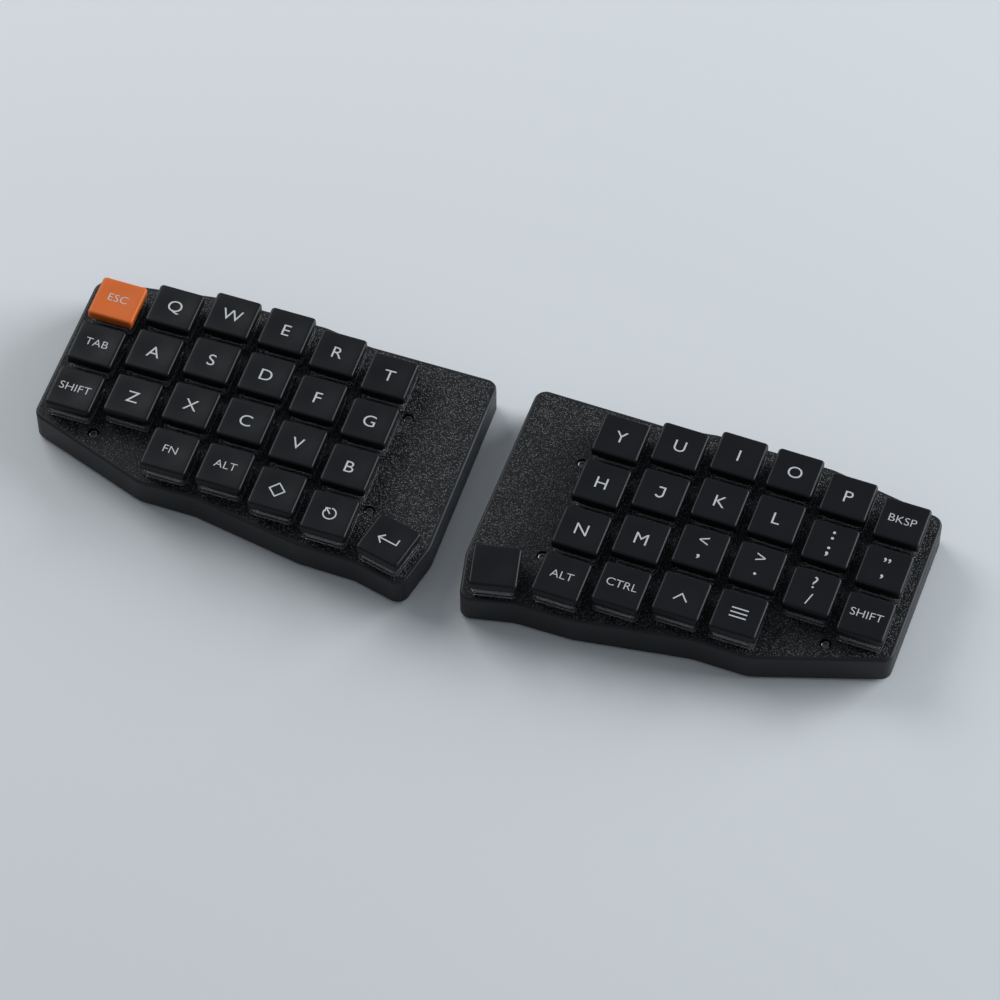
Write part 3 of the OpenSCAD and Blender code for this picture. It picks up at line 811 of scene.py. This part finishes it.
def screw_profile(head_w, tall):
    """Shank, domed head and socket as (share of the head's width, height above the shank's end)."""
    shank, socket = SHANK_W / head_w, 2 * SOCKET_R / head_w
    seat = tall - HEAD_H
    profile = [(0, 0), (shank * SHANK_TIP, 0), (shank, SHANK_CHAMFER), (shank, seat), (HEAD_UNDER, seat),
               (1, seat + HEAD_EASE)]
    for i in range(DOME_STEPS + 1):
        angle = math.radians(90 * i / DOME_STEPS)
        profile.append((SOCKET_RIM + (1 - SOCKET_RIM) * math.cos(angle),
                        seat + HEAD_RIM + (HEAD_H - HEAD_RIM) * math.sin(angle)))
    floor = tall - SOCKET_FLOOR
    return profile + [(socket, tall - HEAD_EASE), (socket, floor), (0, floor)]


def cut_hexagons(mesh, places, floor):
    """Turns the round sockets into hexagons."""
    for vert in mesh.vertices:
        middle = min((Vector(p[:2]) for p in places), key=lambda m: (vert.co.xy - m).length)
        away = vert.co.xy - middle
        if vert.co.z > floor - HAIR and away.length < SOCKET_R + HAIR:
            swing = math.atan2(away.y, away.x) % HEXAGON_SIDE - HEXAGON_SIDE / 2
            vert.co.xy = middle + away * math.cos(HEXAGON_SIDE / 2) / math.cos(swing)


screw_black, shader = glossy("screw_black", SCREW_BLACK, marks=1500, bright=0.16, dull=0.30)
shader.inputs["Metallic"].default_value = 1
for half in HALVES:
    node = half + "_case_screws"
    places, head_w, tall = seats(node)
    mesh = moulded(places, [(s, s, z) for s, z in screw_profile(head_w, tall)], head_w, head_w, head_w / 2,
                   screw_black, steps=8)
    cut_hexagons(mesh, places, places[0][2] + tall - SOCKET_FLOOR)
    piece = add(half + "_screws", mesh)
    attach(piece, half + "_half")
    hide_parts(node)


# Keycaps: square low caps with steep sides, eased edges and a faint hollow in the top. Black plastic
# with a fine matte skin, and one in orange; two prongs under each press into its stem.
CAP_W = 15.6 * MM
CAP_CORNER = 1.15 * MM
CAP_LOW = 16.3
CAP_ROOF = 18.3
CAP_SKIRT = ((0.0, CAP_ROOF), (13.75, CAP_ROOF), (14.0, CAP_ROOF - 0.3), (14.2, CAP_LOW), (15.4, CAP_LOW),
             (15.58, CAP_LOW + 0.12), (15.6, CAP_LOW + 0.3))
CAP_ROUND = ((15.55, 18.6), (13.9, 19.47))
ROUND_STEPS = 7
CAP_RINGS = (13.0, 11.4, 9.4, 7.2, 5.0, 3.0, 1.4, 0.0)
DISH_FROM = 19.46 * MM
DISH_R = 7.6 * MM
DISH_DEPTH = 0.26 * MM
SIDE_CUTS = 6
PRONG = (1.2 * MM, 3.0 * MM, 0.25 * MM)
PRONG_OFF = 2.85 * MM
PRONG_LEVELS = ((0, 14.9), (0.8, 14.9), (1, 15.2), (1, 18.4), (0, 18.4))
CAP_BLACK = (0.006, 0.006, 0.0075)
CAP_ORANGE = (0.64, 0.125, 0.014)


def dish(x, y):
    """Depth of the hollow at a point of the cap's top, which dies out towards the edges."""
    return DISH_DEPTH * max(0.0, 1 - (x * x + y * y) / DISH_R ** 2) ** 2


def straight_side(edge):
    way = edge.verts[1].co - edge.verts[0].co
    return way.length > MM and sum(abs(step) > MM / 1000 for step in way) == 1 and abs(way.z) < MM / 1000


def keycap(key, finish):
    """A cap with its hollow top and its two prongs, at its key's place."""
    x, y, _, turn = key_place(key, 0)
    (wide, low), (flat, high) = CAP_ROUND
    levels = list(CAP_SKIRT)
    for i in range(ROUND_STEPS + 1):
        angle = math.radians(90 * i / ROUND_STEPS)
        levels.append((flat + (wide - flat) * math.cos(angle), low + (high - low) * math.sin(angle)))
    levels += [(w, high) for w in CAP_RINGS]
    profile = [(w * MM / CAP_W, w * MM / CAP_W, z * MM) for w, z in levels]
    mesh = moulded([(0, 0, 0, 0)], profile, CAP_W, CAP_W, CAP_CORNER, finish, steps=5, crisp=50)
    prongs = moulded([(-PRONG_OFF, 0, 0, 0), (PRONG_OFF, 0, 0, 0)], [(s, s, z * MM) for s, z in PRONG_LEVELS],
                     *PRONG, finish, steps=1)
    bm = bmesh.new()
    bm.from_mesh(mesh)
    sides = [edge for edge in bm.edges if straight_side(edge)]
    bmesh.ops.subdivide_edges(bm, edges=sides, cuts=SIDE_CUTS, use_grid_fill=True)
    for vert in bm.verts:
        if vert.co.z > DISH_FROM:
            vert.co.z -= dish(vert.co.x, vert.co.y)
    bm.from_mesh(prongs)
    bm.to_mesh(mesh)
    bm.free()
    mesh.transform(Matrix.Translation((x, y, 0)) @ Matrix.Rotation(turn, 4, "Z"))
    return mesh


cap_skin = {"grain": 5000, "relief": 0.012 * MM, "drift": 0.1}
cap_black = plastic("cap_black", CAP_BLACK, gloss=0.38, shade=0.2, shine=0.2, **cap_skin)
cap_orange = plastic("cap_orange", CAP_ORANGE, gloss=0.42, shade=0.08, shine=0.3, **cap_skin)
for key in half_of:
    orange = key == "key_escape"
    piece = add(key.replace("key_", "cap_"), keycap(key, cap_orange if orange else cap_black))
    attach(piece, key)
    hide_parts(key)


# Legends: plain letters and marks in white ink, printed on the middle of each cap. The J and the marks of
# the keys without letters are drawn as lines with one stroke width. Sizes are in millimetres.
LEGEND_WHITE = (0.54, 0.54, 0.555)
CAPITAL_SHARE = 0.70
CURVE_STEPS = 5
LETTER_H = 4.4
WORD_H = 2.9
WORD_OFF = 0.5
LETTER_STRETCH = 1.06
PAIR_OFF = 3.2
PAIR_WEIGHT = {":": 0.09, ";": 0.09, ".": 0.09, ",": 0.07, "”": 0.02, "’": 0.05}
LETTER_WEIGHT = -0.035
WORD_WEIGHT = -0.045
LETTER_STROKE = 0.57
MARK_STROKE = 0.45
INK_T = 0.03
INK_TOP = 19.485 * MM
WORDS = {
    "key_escape": "ESC", "key_tab": "TAB", "key_left_shift": "SHIFT", "key_function": "FN",
    "key_left_alt": "ALT", "key_backspace": "BKSP", "key_right_shift": "SHIFT", "key_control": "CTRL",
    "key_right_alt": "ALT"}
PAIRS = {"key_quote": "”’", "key_semicolon": ":;", "key_slash": "?/", "key_period": ">.",
         "key_comma": "<,"}
ARC_STEPS = 32


def arc(radius, start, end):
    return [(radius * math.cos(a), radius * math.sin(a)) for a in
            (math.radians(start + (end - start) * i / ARC_STEPS) for i in range(ARC_STEPS + 1))]


MARKS = {
    "key_enter": [[(-3.3, -0.6), (3.3, -0.6), (3.3, 1.6)], [(-1.6, 1.1), (-3.3, -0.6), (-1.6, -2.3)]],
    "key_layer": [arc(2.1, 158, 447), [(0.1, -0.1), (-1.5, 1.6)], [(-0.3, 1.9), (-1.7, 1.8), (-1.7, 0.4)]],
    "key_meta": [[(0, 2.6), (-2.6, 0), (0, -2.6), (2.6, 0), (0, 2.6)]],
    "key_j": [[(-1.0, 1.89), (1.0, 1.89), *((x - 0.25, y - 0.64) for x, y in arc(1.25, 0, -150))]],
    "key_caret": [[(-2.2, -1.9), (0, 0.8), (2.2, -1.9)]],
    "key_menu": [[(-2.8, y), (2.8, y)] for y in (-1.6, 0.0, 1.6)]}


def ink_mesh(data):
    """A flat curve or text as a thin mesh."""
    data.dimensions = "2D"
    data.fill_mode = "BOTH"
    data.extrude = INK_T
    data.resolution_u = CURVE_STEPS
    holder = add("ink", data)
    bpy.context.view_layer.update()
    evaluated = holder.evaluated_get(bpy.context.evaluated_depsgraph_get())
    mesh = bpy.data.meshes.new_from_object(evaluated)
    bpy.data.objects.remove(holder)
    return mesh


def lettering(text, height, lift, weight):
    """Letters centred on a point above or below the middle of the cap, made heavier by a weight."""
    data = bpy.data.curves.new("ink", "FONT")
    data.body = text
    data.size = height / CAPITAL_SHARE
    data.offset = weight
    mesh = ink_mesh(data)
    spots = [v.co for v in mesh.vertices]
    x, y = ((min(s[i] for s in spots) + max(s[i] for s in spots)) / 2 for i in range(2))
    mesh.transform(Matrix.Diagonal((LETTER_STRETCH, 1, 1, 1)) @ Matrix.Translation((-x, -y, 0)))
    mesh.transform(Matrix.Translation((0, lift, 0)))
    return mesh


def stroke(line, wide):
    """The outlines of a line drawn with a stroke: ends cut square, corners mitred, or a closed ring."""
    spots = [Vector(p) for p in line]
    ways = [(b - a).normalized() for a, b in zip(spots, spots[1:])]
    ring = line[0] == line[-1]
    before = [ways[-1] if ring else ways[0]] + ways
    after = ways + [ways[0] if ring else ways[-1]]
    one, other = [], []
    for spot, a, b in zip(spots, before, after):
        na, nb = Vector((-a.y, a.x)), Vector((-b.y, b.x))
        side = (na + nb) / (1 + na.dot(nb)) * wide / 2
        one.append(spot + side)
        other.append(spot - side)
    return [one[:-1], other[:-1]] if ring else [one + other[::-1]]


def mark(line, wide):
    data = bpy.data.curves.new("ink", "CURVE")
    for outline in stroke(line, wide):
        path = data.splines.new("POLY")
        path.points.add(len(outline) - 1)
        path.use_cyclic_u = True
        for point, (x, y) in zip(path.points, outline):
            point.co = (x, y, 0, 1)
    return ink_mesh(data)


def legend(key):
    """The meshes that make up a key's legend, drawn in millimetres about the middle of the cap."""
    if key in MARKS:
        wide = LETTER_STROKE if key == "key_j" else MARK_STROKE
        return [mark(line, wide) for line in MARKS[key]]
    if key in PAIRS:
        return [lettering(sign, LETTER_H, lift, PAIR_WEIGHT.get(sign, LETTER_WEIGHT))
                for sign, lift in zip(PAIRS[key], (PAIR_OFF, -PAIR_OFF))]
    if key in WORDS:
        return [lettering(WORDS[key], WORD_H, WORD_OFF, WORD_WEIGHT)]
    return [lettering(key[-1].upper(), LETTER_H, 0, LETTER_WEIGHT)]


legend_white = plastic("legend_white", LEGEND_WHITE, gloss=0.5, grain=4000, relief=0.005 * MM, shade=0.06,
                       drift=0.05)
for key in half_of:
    if key == "key_space":
        continue
    bm = bmesh.new()
    for mesh in legend(key):
        bm.from_mesh(mesh)
    for vert in bm.verts:
        px, py = vert.co.x * MM, vert.co.y * MM
        vert.co = (px, py, INK_TOP - dish(px, py) + vert.co.z * MM)
    mesh = bpy.data.meshes.new(key.replace("key_", "legend_"))
    bm.to_mesh(mesh)
    bm.free()
    x, y, _, turn = key_place(key, 0)
    mesh.transform(Matrix.Translation((x, y, 0)) @ Matrix.Rotation(turn, 4, "Z"))
    mesh.materials.append(legend_white)
    piece = add(mesh.name, mesh)
    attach(piece, key)
